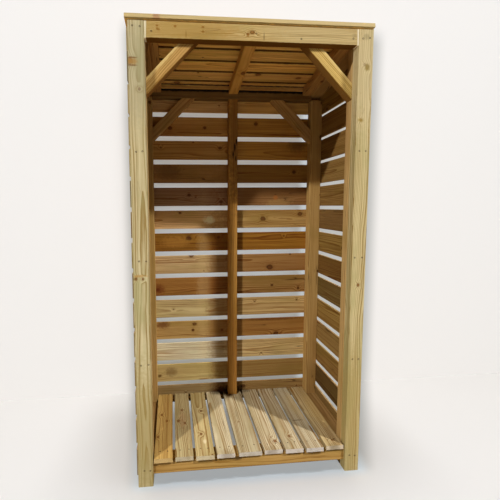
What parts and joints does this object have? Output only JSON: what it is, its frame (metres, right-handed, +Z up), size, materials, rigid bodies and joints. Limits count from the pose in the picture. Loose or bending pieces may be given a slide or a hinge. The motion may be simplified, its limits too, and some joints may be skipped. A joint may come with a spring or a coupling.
{
  "type": "log store",
  "caption": "Open-fronted slatted timber log store with a raised board floor, knee braces and a lapped mono-pitch roof.",
  "frame": {"origin": "on the ground, under the centre of the overall box", "axes": "+Z up, -Y out of the open front, +X to the right of someone facing the front"},
  "size_m": [0.948, 0.4846, 1.8169],
  "materials": {
    "front_timber": "planed pale green-yellow treated softwood",
    "slat_timber": "treated softwood slats, warm brown inside",
    "roof_timber": "sawn tapered boards, brown",
    "floor_timber": "planed treated softwood boards",
    "frame_timber": "planed treated softwood"
  },
  "bodies": {
    "root": {"back_slats": "slat_timber", "back_top_rail": "frame_timber", "centre_rear_post": "frame_timber", "floor_board_1": "floor_timber", "floor_board_2": "floor_timber", "floor_board_3": "floor_timber", "floor_board_4": "floor_timber", "floor_board_5": "floor_timber", "floor_board_6": "floor_timber", "floor_board_7": "floor_timber", "floor_board_8": "floor_timber", "floor_board_9": "floor_timber", "front_bearer": "frame_timber", "front_brace_left": "frame_timber", "front_brace_right": "frame_timber", "front_post_left": "front_timber", "front_post_right": "front_timber", "front_top_rail": "front_timber", "front_upright_left": "frame_timber", "front_upright_right": "frame_timber", "rafter_centre": "frame_timber", "rafter_left": "frame_timber", "rafter_right": "frame_timber", "rail_packer_left": "frame_timber", "rail_packer_right": "frame_timber", "rear_bearer": "frame_timber", "rear_brace_left": "frame_timber", "rear_brace_right": "frame_timber", "rear_upright_left": "frame_timber", "rear_upright_right": "frame_timber", "roof_board_1": "roof_timber", "roof_board_2": "roof_timber", "roof_board_3": "roof_timber", "roof_board_4": "roof_timber", "roof_board_5": "roof_timber", "roof_board_6": "roof_timber", "side_bearer_left": "frame_timber", "side_bearer_right": "frame_timber", "side_plate_left": "frame_timber", "side_plate_right": "frame_timber", "side_slats_left": "slat_timber", "side_slats_right": "slat_timber"}
  },
  "joints": []
}
